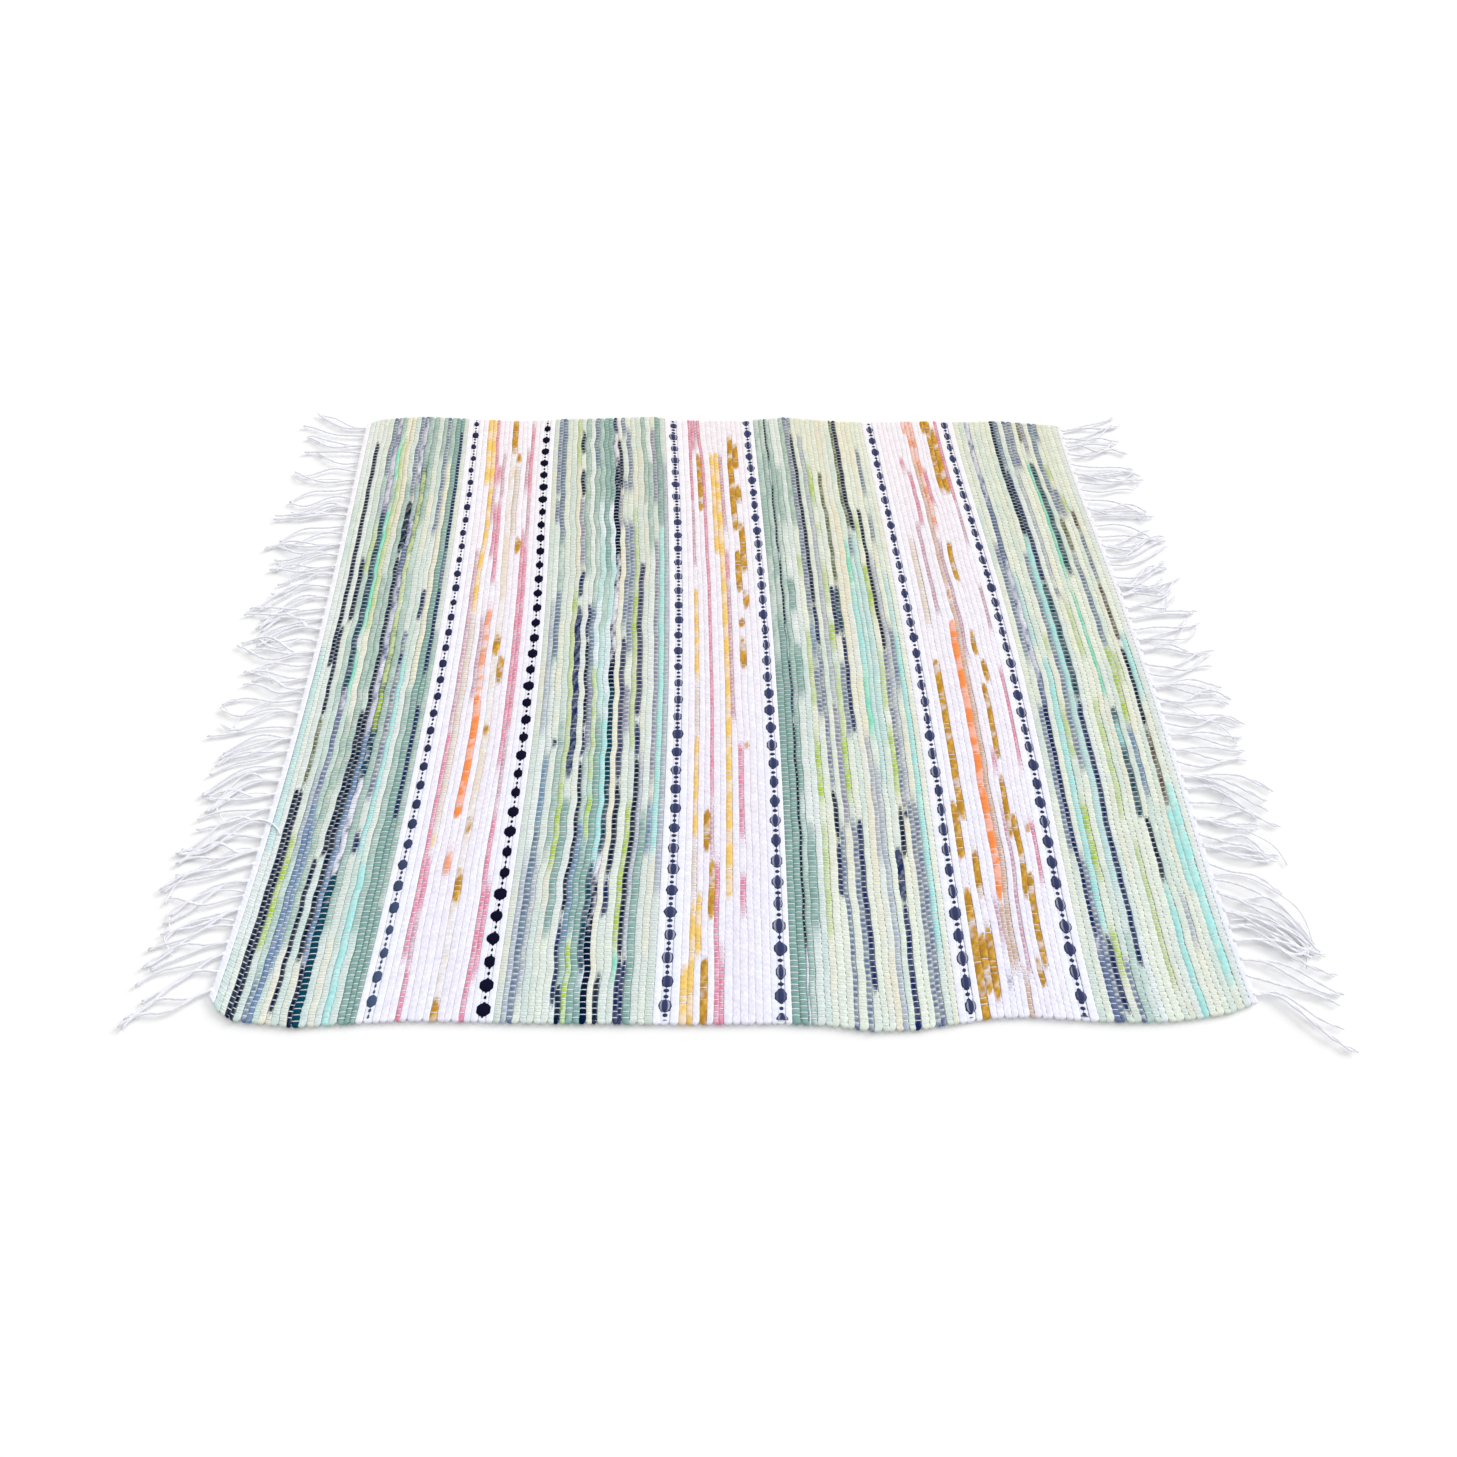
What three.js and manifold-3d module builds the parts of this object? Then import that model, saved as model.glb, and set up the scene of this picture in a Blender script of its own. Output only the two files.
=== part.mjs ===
// A flat-woven cotton rag mat with fringed ends, in millimetres, +Z up.
// X runs along the warp from fringe to fringe, Y runs along the rag strips from selvedge to
// selvedge, and the origin is the middle of the underside. The strips are laid in colour
// bands, six thin white borders each carry one beaded space-dyed cord, and the warp passes
// through every band and ends in the knotted tassels.
// The mat folds in half across the warp at x = 0, so nothing crosses that line in one piece.
import * as THREE from "three";
import { mergeVertices } from "three/addons/utils/BufferGeometryUtils.js";
import Module from "manifold-3d";

// Driving dimensions
const BODY_WIDTH = 750; // along X, between the two outer heading rows
const BODY_LENGTH = 600; // along Y, the length of every rag strip
const FRINGE = 75; // length of a tassel beyond the heading
const CREST = 5; // height of the top of a rag row
const VALLEY = 4.3; // height of the groove between two rows
const ROW_PITCH = 4.8; // one rag row to the next
const GAP = 0.3; // clearance between pieces that touch on the real mat

// Warp: one flat sheet of threads on each side of the fold, closed in by the bands
const WARP_THICKNESS = 0.8;
const WARP_HEIGHT = 2; // mid height of the sheet above the underside
const SLOT_MARGIN = 6; // strip that turns back round the warp at each selvedge
const WARP_BACK = 1; // how far the sheet stays inside the outer face and the fold line

// Beaded cord
const BEAD_PITCH = 16.6;
const BEAD_HALF_WIDTH = 3.3;
const NECK_HALF_WIDTH = 1.1;
const CORD_BOTTOM = 3.4;
const CORD_TOP = 5;
const GROOVE_HALF_WIDTH = 3.6;

// Tassels: three to a piece
const TASSELS_PER_PIECE = 3;
const PIECES_PER_SIDE = 16;
const TASSEL_PITCH = BODY_LENGTH / (TASSELS_PER_PIECE * PIECES_PER_SIDE);
const TASSEL_THICKNESS = 2.4;
const TASSEL_ROOT_WIDTH = 4.2;
const TASSEL_TIP_WIDTH = 2;
const TASSEL_STEPS = 5;
const KNOT_BAR = 3; // width of the knotted cord that ties three tassels together
const CORNER_SWEEP = 24; // how far the outermost tassel leans past the selvedge
const SWAY = 2.2;

// The bands in order from the left fringe to the right one, each with its width along X.
const BANDS = [
  ["heading_left", "heading", 5],
  ["green_band_1", "green", 105],
  ["white_border_1", "border", 17],
  ["pale_band_1", "pale", 62],
  ["white_border_2", "border", 16],
  ["green_band_2", "green", 116],
  ["white_border_3", "border", 18],
  ["pale_band_2_left", "pale", 36],
  ["pale_band_2_right", "pale", 26],
  ["white_border_4", "border", 14],
  ["green_band_3", "green", 118],
  ["white_border_5", "border", 17],
  ["pale_band_3", "pale", 67],
  ["white_border_6", "border", 18],
  ["green_band_4", "green", 110],
  ["heading_right", "heading", 5],
];

const cloth = (color, roughness) =>
  new THREE.MeshStandardMaterial({ color, roughness, metalness: 0 });

const MATERIALS = {
  warp: cloth(0xf4f3f6, 0.9),
  heading: cloth(0xf2f1f5, 0.9),
  green: cloth(0xa9bfb0, 0.95),
  pale: cloth(0xf1e8e6, 0.95),
  border: cloth(0xfafafc, 0.9),
  cord: cloth(0x2b2d4f, 0.9),
  tassel: cloth(0xf4f4f9, 0.85),
};

const wasm = await Module();
wasm.setup();

function solidOf(geometry) {
  geometry.deleteAttribute("normal");
  geometry.deleteAttribute("uv");
  const merged = mergeVertices(geometry, 1e-4);
  return new wasm.Manifold(
    new wasm.Mesh({
      numProp: 3,
      vertProperties: merged.attributes.position.array,
      triVerts: new Uint32Array(merged.index.array),
    }),
  );
}

function geometryOf(solid) {
  const mesh = solid.getMesh();
  const geometry = new THREE.BufferGeometry();
  geometry.setAttribute(
    "position",
    new THREE.BufferAttribute(new Float32Array(mesh.vertProperties), 3),
  );
  geometry.setIndex(new THREE.BufferAttribute(new Uint32Array(mesh.triVerts), 1));
  geometry.computeVertexNormals();
  return geometry;
}

// Points along the ribbed top from one x to another, one rib for each rag row.
function ribs(from, to) {
  const rows = Math.max(1, Math.round((to - from) / ROW_PITCH));
  const pitch = (to - from) / rows;
  const stepsPerRib = 4;
  const points = [];
  for (let i = 0; i <= rows * stepsPerRib; i++) {
    const bulge = Math.abs(Math.sin((Math.PI * i) / stepsPerRib));
    const x = from + (i * pitch) / stepsPerRib;
    points.push([x, VALLEY + (CREST - VALLEY) * bulge]);
  }
  return points;
}

// A band's cross-section: flat below, ribbed on top, with an open groove for a beaded cord.
function bandOutline(width, grooved) {
  const right = width - GAP;
  const outline = [[0, 0], [right, 0]];
  if (!grooved) return [...outline, ...ribs(0, right).reverse()];
  const middle = right / 2;
  const floor = CORD_BOTTOM - GAP;
  return [
    ...outline,
    ...ribs(middle + GROOVE_HALF_WIDTH, right).reverse(),
    [middle + GROOVE_HALF_WIDTH, floor],
    [middle - GROOVE_HALF_WIDTH, floor],
    ...ribs(0, middle - GROOVE_HALF_WIDTH).reverse(),
  ];
}

function shapeOf(points) {
  return new THREE.Shape(points.map(([x, y]) => new THREE.Vector2(x, y)));
}

// A band of rag strips: the cross-section run along Y, with a slot right through it along X
// for the warp.
function bandGeometry(width, grooved) {
  const options = { depth: BODY_LENGTH, bevelEnabled: false };
  const prism = new THREE.ExtrudeGeometry(shapeOf(bandOutline(width, grooved)), options);
  prism.rotateX(Math.PI / 2);
  prism.translate(0, BODY_LENGTH / 2, 0);
  const slot = new THREE.BoxGeometry(
    width + 2,
    BODY_LENGTH - 2 * SLOT_MARGIN,
    WARP_THICKNESS + 2 * GAP,
  );
  slot.translate(width / 2, 0, WARP_HEIGHT);
  return geometryOf(solidOf(prism).subtract(solidOf(slot)));
}

// The beaded cord: swellings joined by narrow necks, starting and ending on a neck.
function cordGeometry() {
  const beads = Math.round(BODY_LENGTH / BEAD_PITCH);
  const pitch = BODY_LENGTH / beads;
  const side = [];
  for (let i = 0; i <= 2 * beads; i++) {
    const half = i % 2 ? BEAD_HALF_WIDTH : NECK_HALF_WIDTH;
    side.push([half, -BODY_LENGTH / 2 + (i * pitch) / 2]);
  }
  const otherSide = side.map(([x, y]) => [-x, y]).reverse();
  const options = { depth: CORD_TOP - CORD_BOTTOM, bevelEnabled: false };
  return new THREE.ExtrudeGeometry(shapeOf([...side, ...otherSide]), options);
}

function warpGeometry(length) {
  return new THREE.BoxGeometry(
    length,
    BODY_LENGTH - 2 * SLOT_MARGIN - 2 * GAP,
    WARP_THICKNESS,
  );
}

// The middle line of one tassel: it sways a little, and near a corner it leans outwards.
// along runs from 0 at the heading to 1 at the tip.
function tasselCentre(index, along) {
  const count = TASSELS_PER_PIECE * PIECES_PER_SIDE;
  const root = (index + 0.5 - count / 2) * TASSEL_PITCH;
  const outward = root / (BODY_LENGTH / 2);
  const lean = CORNER_SWEEP * Math.sign(outward) * Math.abs(outward) ** 4;
  const swayed = SWAY * (1 - Math.abs(outward)) * Math.sin(2.4 * index + 4 * along);
  return root + lean * along ** 1.6 + swayed * along;
}

function tasselHalfWidth(along) {
  return (TASSEL_ROOT_WIDTH + (TASSEL_TIP_WIDTH - TASSEL_ROOT_WIDTH) * along) / 2;
}

// Three tassels on one knotted bar, as a flat comb. Its fingers point along +X.
function tasselGeometry(piece) {
  const first = piece * TASSELS_PER_PIECE;
  const middle = tasselCentre(first + 1, 0);
  const halfBar = (TASSELS_PER_PIECE * TASSEL_PITCH - GAP) / 2;
  const outline = [[0, middle - halfBar], [KNOT_BAR, middle - halfBar]];
  for (let i = first; i < first + TASSELS_PER_PIECE; i++) {
    const finger = (side, step) => {
      const along = step / TASSEL_STEPS;
      const x = KNOT_BAR + (FRINGE - KNOT_BAR) * along;
      return [x, tasselCentre(i, along) + side * tasselHalfWidth(along)];
    };
    for (let step = 0; step <= TASSEL_STEPS; step++) outline.push(finger(-1, step));
    for (let step = TASSEL_STEPS; step >= 0; step--) outline.push(finger(1, step));
  }
  outline.push([KNOT_BAR, middle + halfBar], [0, middle + halfBar]);
  const options = { depth: TASSEL_THICKNESS, bevelEnabled: false };
  return new THREE.ExtrudeGeometry(shapeOf(outline), options);
}

const group = new THREE.Group();

function place(name, geometry, material, x, z) {
  const mesh = new THREE.Mesh(geometry, material.clone());
  mesh.name = name;
  mesh.position.set(x, 0, z);
  group.add(mesh);
  return mesh;
}

function addBands() {
  let left = -BODY_WIDTH / 2;
  let cords = 0;
  for (const [name, kind, width] of BANDS) {
    const isBorder = kind === "border";
    const x = left + GAP / 2;
    place(name, bandGeometry(width, isBorder), MATERIALS[kind], x, 0);
    if (isBorder) {
      cords += 1;
      const middle = x + (width - GAP) / 2;
      place("dotted_cord_" + cords, cordGeometry(), MATERIALS.cord, middle, CORD_BOTTOM);
    }
    left += width;
  }
}

function addWarp() {
  const length = BODY_WIDTH / 2 - 2 * WARP_BACK;
  const middle = BODY_WIDTH / 4;
  place("warp_left", warpGeometry(length), MATERIALS.warp, -middle, WARP_HEIGHT);
  place("warp_right", warpGeometry(length), MATERIALS.warp, middle, WARP_HEIGHT);
}

function addTassels() {
  for (let piece = 0; piece < PIECES_PER_SIDE; piece++) {
    const number = String(piece + 1).padStart(2, "0");
    const right = tasselGeometry(piece);
    const left = tasselGeometry(piece);
    left.scale(-1, 1, 1);
    left.setIndex(reversedFaces(left));
    const edge = BODY_WIDTH / 2;
    place("tassels_left_" + number, left, MATERIALS.tassel, -edge, 0);
    place("tassels_right_" + number, right, MATERIALS.tassel, edge, 0);
  }
}

// A mirrored geometry's faces point inwards until each is turned round.
function reversedFaces(geometry) {
  const count = geometry.attributes.position.count;
  const faces = [];
  for (let i = 0; i < count; i += 3) faces.push(i, i + 2, i + 1);
  return faces;
}

addBands();
addWarp();
addTassels();

export default group;
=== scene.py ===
import math

import bpy
import numpy as np
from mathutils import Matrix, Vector


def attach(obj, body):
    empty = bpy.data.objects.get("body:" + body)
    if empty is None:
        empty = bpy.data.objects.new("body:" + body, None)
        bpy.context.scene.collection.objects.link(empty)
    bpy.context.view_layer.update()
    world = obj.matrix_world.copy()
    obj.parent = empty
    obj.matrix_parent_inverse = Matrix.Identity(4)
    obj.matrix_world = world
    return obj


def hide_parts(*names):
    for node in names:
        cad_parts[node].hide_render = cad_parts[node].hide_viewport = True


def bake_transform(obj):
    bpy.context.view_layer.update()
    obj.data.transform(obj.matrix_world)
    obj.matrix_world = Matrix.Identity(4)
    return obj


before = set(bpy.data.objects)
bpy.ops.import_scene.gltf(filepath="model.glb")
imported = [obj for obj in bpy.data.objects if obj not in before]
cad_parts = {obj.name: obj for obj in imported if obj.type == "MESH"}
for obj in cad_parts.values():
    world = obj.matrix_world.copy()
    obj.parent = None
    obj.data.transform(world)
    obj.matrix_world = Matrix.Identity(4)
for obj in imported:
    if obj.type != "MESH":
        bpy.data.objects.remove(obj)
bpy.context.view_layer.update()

# Driving dimensions
HALF_WIDTH = 375.0
HALF_LENGTH = 300.0
THREADS = 290
MM = 0.001

# Rag rows
MIDDLE = 2.4  # mid height of the cloth
ROW_TOP = 4.6
ROW_BOTTOM = 1.05
PINCH = 0.95  # how far a warp thread presses a row down
BARE_PINCH = 0.3  # the same where the rag hides the thread
CORE_SINK = 0.5  # how much lower the row lies that carries a beaded cord
FINE_WIDTH = 0.36  # width of a fine row beside that of its neighbours
FINE_RISE = 0.1  # how much higher it lies
RING_PHASES = (0.0, 0.3, 0.7)  # places of the rings from one tick to the next

# Outline of a row, as shares of its half width and of its height. Flat rows have smooth tops.
RING_ACROSS = np.array([1.0, 0.82, 0.40, -0.40, -0.82, -1.0, -0.6, 0.6])
RING_UP = np.array([0.50, 0.80, 1.0, 1.0, 0.80, 0.50, -0.95, -0.95])
SMOOTH_UP = np.array([0.87, 0.95, 1.0, 1.0, 0.95, 0.87, -0.95, -0.95])

ROUNDED = (-0.0016, -0.0008, 0.0004, 0.0018)  # places of the last rings at an end
ROUNDED_SIZES = (0.45, 0.78, 0.95, 1.0)
TURN = (0.42, 0.34, 0.18, 0.05)  # how far these lean to the row that the strip turns into
TURN_FROM = 0.494  # distance from the middle of a row at which its strip begins to turn
TURN_FADE = 0.003

# Share of a row over which one dye turns into the next, quickly or slowly, and one width.
FADE = 0.008
SLOW_FADE = 0.03
WIDTH_FADE = 0.07

# Warp threads
THREAD_RADIUS = 0.36
THREAD_SIDES = 4
THREAD_PIECES = 3  # pieces on each side of the fold line
CREST = 4.16  # height of a thread over a row
HIDDEN_CREST = 3.1  # the same where the rag hides it
TROUGH = 0.55  # height of a thread under a row
DIVE = 3.3  # height of a thread in the groove between two rows
SHOULDERS = (0.24, 0.76)  # share of a row's width between which the thread lies level
STAIN = 0.16  # share of a rag's dye that the warp takes where it crosses it

rng = np.random.default_rng(41)

# Dyes, as sRGB, and the colour of the painted highlights on ochre. Flame is the orange of a wide
# rag.
DYES = {
    "white": "E5ECE7", "snow": "F5F4FD", "cream": "DCE5DC", "mint": "CDE0D6", "sage": "A2BFB3",
    "teal": "83AAA0", "slate": "677699", "pale_slate": "AEB5C6", "mauve": "8A85A4",
    "blue": "6E8FB0", "black": "001B3A", "navy": "12295E", "deep": "064456", "lime": "B2D044",
    "pale_lime": "C6D894", "olive": "5E6630", "aqua": "A9E7E1", "pale_aqua": "C2E4E0",
    "green": "8AE0C4", "butter": "ECE7CF", "pearl": "E9EEDD", "blush": "F5EFF8", "gold": "F6CD72",
    "ochre": "BF8B2E", "ochre_highlight": "DDAE4C", "rose": "EA8BA4", "dust": "D39AA8", "orange": "FF9350",
    "flame": "FF9350", "salmon": "F0A684", "tan": "D9B69A", "sand": "EBDCCB", "brown": "5A4636",
    "indigo": "2F3152", "ink": "12122A", "plum": "33365F", "dashed_navy": "6A7094",
    "yarn": "F4F4FB", "fringe": "F5F5FC",
}

# Dyes that swell over the warp threads and hide them, and dyes that show only between them.
BARE_DYES = {"gold", "orange", "flame", "green", "ochre", "salmon"}
DASHED_DYES = {"dust", "slate", "mauve", "pale_slate", "dashed_navy"}

# Pale rows, which lie flatter than the others, and how flat each is.
FLAT_GROUNDS = {
    "snow": 1.0, "core": 1.0, "yarn": 1.0, "blush": 1.0, "white": 0.65, "cream": 0.6,
    "pearl": 0.7, "butter": 0.7, "mint": 0.6, "pale_aqua": 0.5, "sand": 0.9,
}

# How much of a dye is lost at both sides of its row, from 0 to 1.
USUAL_FLANKED = 0.4
FLANKED = {
    "black": 0.5, "navy": 0.55, "deep": 0.6, "slate": 0.95, "blue": 0.95, "mauve": 0.95,
    "rose": 0.7, "dust": 0.95, "tan": 0.7, "lime": 0.8, "pale_lime": 0.8, "plum": 0.8,
    "dashed_navy": 0.9, "pale_slate": 0.9, "olive": 0.8, "brown": 0.8, "teal": 0.3,
    "gold": 0.2, "ochre": 0.12, "orange": 0.25, "flame": 0.25, "aqua": 0.35, "green": 0.3,
    "salmon": 0.3,
}

# How much narrower each dye's strip makes its row. Below 0 it makes the row wider.
THIN_DYES = {
    "slate": 0.22, "blue": 0.22, "mauve": 0.22, "pale_slate": 0.24, "dust": 0.4, "rose": 0.34,
    "lime": 0.14, "pale_lime": 0.12, "olive": 0.26, "plum": 0.15, "navy": 0.30, "black": 0.30,
    "tan": 0.10, "brown": 0.20, "dashed_navy": 0.26, "ochre": -0.12, "orange": -0.10,
    "flame": -0.5, "deep": 0.1, "green": 0.3, "aqua": 0.1, "gold": 0.1,
}

# Dyes that come and go slowly along a row; the others change within FADE.
SLOW_DYES = {
    "teal", "sage", "mint", "pale_aqua", "aqua", "mauve", "sand", "pale_slate", "pale_lime",
    "butter", "white", "dust", "salmon", "tan", "lime", "green", "slate", "blue", "rose",
}

# How the dyes change in red, green and blue from the far selvedge to the near one.
COOLING = np.array([-0.06, 0.0, 0.11])

# How far a dye breaks up into patches, from 0, even, to 1.
USUAL_PATCHY = 0.35
PATCHY = {
    "black": 0.05, "navy": 0.08, "deep": 0.15, "teal": 0.2, "plum": 0.1, "gold": 0.4,
    "orange": 0.3, "flame": 0.3, "ochre": 0.55, "lime": 0.5, "pale_lime": 0.45, "slate": 0.25,
    "blue": 0.25, "aqua": 0.3, "green": 0.3, "rose": 0.3, "salmon": 0.5, "tan": 0.3,
    "brown": 0.3, "olive": 0.3, "mauve": 0.25,
}

# Dyes that the ground of a row drifts into here and there.
DRIFTS = {
    "white": ("pearl", "mint", "cream"),
    "cream": ("mint", "butter", "pearl"),
    "pearl": ("butter", "mint", "cream"),
    "mint": ("sage", "cream", "white"),
    "butter": ("pearl", "white"),
    "sage": ("mint", "cream"),
    "blush": ("snow", "blush"),
    "teal": ("sage", "teal"),
}

# How the rows bend: the shift across, at five even places along, of eight lines that were
# straight on the loom. The key is the place across of the line.
BENDS = {
    -375.0: (0.5, 4.7, 7.1, 4.2, -4.7),
    -256.5: (-2.3, 3.5, 4.5, 1.0, -8.0),
    -178.0: (-4.2, 0.5, 4.3, 1.0, -5.6),
    -45.0: (-3.5, 1.2, 1.7, -2.1, -9.2),
    33.0: (-2.6, 1.2, 2.6, 0.7, -3.5),
    166.5: (-3.8, 1.9, 4.7, 2.4, -1.5),
    251.0: (-6.1, -0.9, 3.8, 0.1, -3.2),
    375.0: (-3.5, -1.1, 3.2, 0.8, 1.3),
}

# How far the selvedges wave outwards: place across, then the distance.
NEAR_WAVE = (
    (-379, -15), (-371, -5.7), (-359, 0.5), (-316, 5.2), (-264, 2.4), (-236, 1.4), (-189, 2.4),
    (-142, 3.8), (-94, 4.3), (-47, 5.2), (28, 5.2), (62, 6.6), (95, 10.9), (128, 9.9),
    (142, 7.6), (163, 5.2), (180, 2.8), (208, 1.9), (255, 5.2), (284, 6.1), (312, 5.7),
    (331, 3.8), (355, 0.5), (373, -5.7),
)
FAR_WAVE = (
    (-375, -4.9), (-359, 2.6), (-335, 5.5), (-312, 6.9), (-269, 4.5), (-245, 2.6), (-208, 1.2),
    (-170, 4.5), (-123, 6), (-71, 9.3), (-57, 7), (-47, 4.5), (-19, 3.6), (28, 3.6),
    (71, 9.3), (95, 7), (118, 4.5), (161, 2.6), (189, 3.6), (236, 4.5), (265, 3.6),
    (302, 5.5), (340, 1.7), (372, -1.1),
)

# The rag rows of each band, from left to right. A row is its ground dye, then streaks: the dye and
# where it starts and ends along the row. "bare" after a streak makes it bunch up over the warp.
GREEN_1 = (
    ("white", ("pale_aqua", 0.48, 0.80)),
    ("white",),
    ("white", ("black", 0.06, 0.52), ("black", 0.71, 1)),
    ("white", ("black", 0.44, 0.60), ("olive", 0.60, 0.70), ("black", 0.70, 1)),
    ("cream", ("black", 0.31, 0.44), ("lime", 0.77, 0.92)),
    ("mint", ("slate", 0, 0.14), ("pale_slate", 0.17, 0.24), ("pale_lime", 0.24, 0.35),
     ("pale_slate", 0.68, 0.80), ("slate", 0.95, 1)),
    ("mauve", ("deep", 0.22, 0.56), ("slate", 0.58, 0.72), ("blue", 0.72, 1)),
    ("mint", ("sage", 0, 0.05), ("green", 0.05, 0.15), ("sage", 0.15, 0.21), ("green", 0.21, 0.45),
     ("green", 0.49, 0.57), ("blue", 0.75, 0.95)),
    ("butter", ("pale_lime", 0.05, 0.45), ("sage", 0.60, 0.92)),
    ("cream", ("butter", 0, 0.25), ("sage", 0.35, 0.70), ("black", 0.80, 0.99)),
    ("mint", ("sage", 0.15, 0.56), ("black", 0.58, 0.80)),
    ("cream", ("slate", 0, 0.19), ("black", 0.19, 0.31, "bare"), ("black", 0.31, 0.93)),
    ("slate", ("sage", 0.15, 0.23), ("blue", 0.63, 0.93), ("black", 0.93, 1)),
    ("deep", ("sage", 0, 0.13), ("pale_lime", 0.13, 0.55), ("lime", 0.55, 0.62)),
    ("mint", ("sage", 0, 0.25), ("sage", 0.45, 0.90)),
    ("cream", ("dashed_navy", 0.45, 0.72), ("navy", 0.49, 0.51), ("navy", 0.76, 0.80)),
    ("mint", ("sage", 0, 0.1), ("aqua", 0.5, 0.8)),
    ("white", ("slate", 0, 0.27), ("navy", 0.37, 0.43), ("aqua", 0.80, 1, "bare")),
    ("mint", ("sage", 0, 0.10), ("butter", 0.10, 0.55), ("sage", 0.55, 0.9)),
    ("teal",),
    ("teal", ("navy", 0.03, 0.30), ("dashed_navy", 0.30, 0.37), ("navy", 0.37, 0.53),
     ("navy", 0.58, 0.75)),
    ("cream", ("sage", 0.45, 0.86), ("teal", 0.86, 1)),
)
PALE_1 = (
    ("blush",),
    ("blush", ("gold", 0, 0.16), ("dust", 0.30, 0.62), ("rose", 0.62, 0.93)),
    ("blush", ("gold", 0, 0.42), ("sand", 0.42, 0.77), ("gold", 0.77, 0.79), ("rose", 0.80, 0.88),
     ("dust", 0.88, 0.94), ("rose", 0.94, 1)),
    ("blush", ("rose", 0, 0.16), ("dust", 0.16, 0.24)),
    ("blush", ("rose", 0.11, 0.15), ("rose", 0.20, 0.31), ("dust", 0.42, 0.57)),
    ("blush", ("dust", 0.08, 0.19), ("rose", 0.19, 0.36), ("salmon", 0.40, 0.56),
     ("orange", 0.56, 0.75), ("salmon", 0.79, 0.83)),
    ("blush",),
    ("sand", ("ochre", 0, 0.08), ("ochre", 0.45, 0.50), ("ochre", 0.61, 0.63),
     ("ochre", 0.75, 0.77), ("ochre", 0.82, 0.86), ("ochre", 0.97, 1)),
    ("blush", ("ochre", 0.08, 0.10), ("sand", 0.11, 0.27), ("ochre", 0.49, 0.54)),
    ("blush", ("ochre", 0.27, 0.30)),
    ("blush", ("dust", 0.07, 0.17), ("rose", 0.25, 0.68)),
    ("blush", ("rose", 0.01, 0.18), ("dust", 0.18, 0.28), ("rose", 0.28, 0.62),
     ("dust", 0.62, 0.73), ("rose", 0.73, 1)),
    ("blush", ("rose", 0.83, 0.95)),
)
GREEN_2 = (
    ("cream",),
    ("white", ("slate", 0, 0.18), ("dashed_navy", 0.19, 0.24), ("pale_slate", 0.40, 0.62),
     ("pale_slate", 0.80, 1)),
    ("sage", ("slate", 0, 0.28), ("slate", 0.38, 0.50), ("white", 0.50, 0.66),
     ("blue", 0.66, 0.76), ("slate", 0.76, 1)),
    ("cream", ("navy", 0.63, 0.65), ("pale_slate", 0.80, 0.98)),
    ("cream", ("teal", 0.60, 0.62, "bare"), ("sage", 0.62, 0.80)),
    ("cream", ("pale_lime", 0, 0.12), ("butter", 0.12, 0.35), ("lime", 0.38, 0.42),
     ("pale_lime", 0.42, 0.70), ("lime", 0.70, 0.82)),
    ("cream", ("black", 0.03, 0.09), ("black", 0.12, 0.18), ("mauve", 0.18, 0.33),
     ("navy", 0.34, 0.39), ("navy", 0.41, 0.69, "bare"), ("teal", 0.72, 0.90)),
    ("white", ("sage", 0, 0.35), ("pale_lime", 0.165, 0.18)),
    ("white", ("navy", 0.40, 0.47), ("black", 0.47, 0.62), ("navy", 0.62, 0.66),
     ("black", 0.67, 0.88), ("navy", 0.88, 0.98)),
    ("sage", ("slate", 0, 0.12), ("slate", 0.40, 0.52), ("mauve", 0.52, 0.65),
     ("blue", 0.75, 0.92), ("black", 0.96, 1)),
    ("pale_aqua", ("sage", 0, 0.2), ("pale_lime", 0.51, 0.70), ("lime", 0.71, 0.78),
     ("teal", 0.78, 0.90), ("lime", 0.90, 1)),
    ("mint", ("teal", 0, 0.35), ("pale_aqua", 0.45, 0.60), ("teal", 0.60, 1)),
    ("pale_aqua", ("teal", 0, 0.2), ("aqua", 0.60, 0.81), ("deep", 0.81, 0.95), ("teal", 0.95, 1)),
    ("black", ("navy", 0, 0.04), ("deep", 0.55, 0.80)),
    ("butter", ("white", 0, 0.05), ("black", 0.05, 0.17), ("mauve", 0.17, 0.25)),
    ("cream", ("slate", 0, 0.05), ("slate", 0.14, 0.18), ("slate", 0.24, 0.45),
     ("plum", 0.46, 0.70), ("black", 0.70, 0.83), ("navy", 0.83, 0.88), ("black", 0.95, 1)),
    ("cream", ("slate", 0.03, 0.18), ("slate", 0.24, 0.50), ("mauve", 0.55, 0.63)),
    ("cream", ("lime", 0.22, 0.24), ("pale_lime", 0.25, 0.37), ("lime", 0.37, 0.50),
     ("pale_lime", 0.50, 0.65), ("lime", 0.73, 0.92), ("green", 0.92, 0.95)),
    ("cream", ("plum", 0.32, 0.60), ("navy", 0.61, 0.66), ("black", 0.66, 0.93),
     ("navy", 0.93, 1)),
    ("cream", ("sage", 0, 0.20), ("pale_slate", 0.65, 0.93), ("navy", 0.93, 1)),
    ("white", ("sage", 0.1, 0.3), ("teal", 0.74, 1)),
    ("cream", ("mauve", 0.03, 0.20), ("mauve", 0.28, 0.70), ("blue", 0.72, 0.80)),
    ("cream", ("teal", 0, 0.25), ("aqua", 0.25, 0.80)),
    ("cream", ("pale_slate", 0.1, 0.85)),
)
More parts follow.
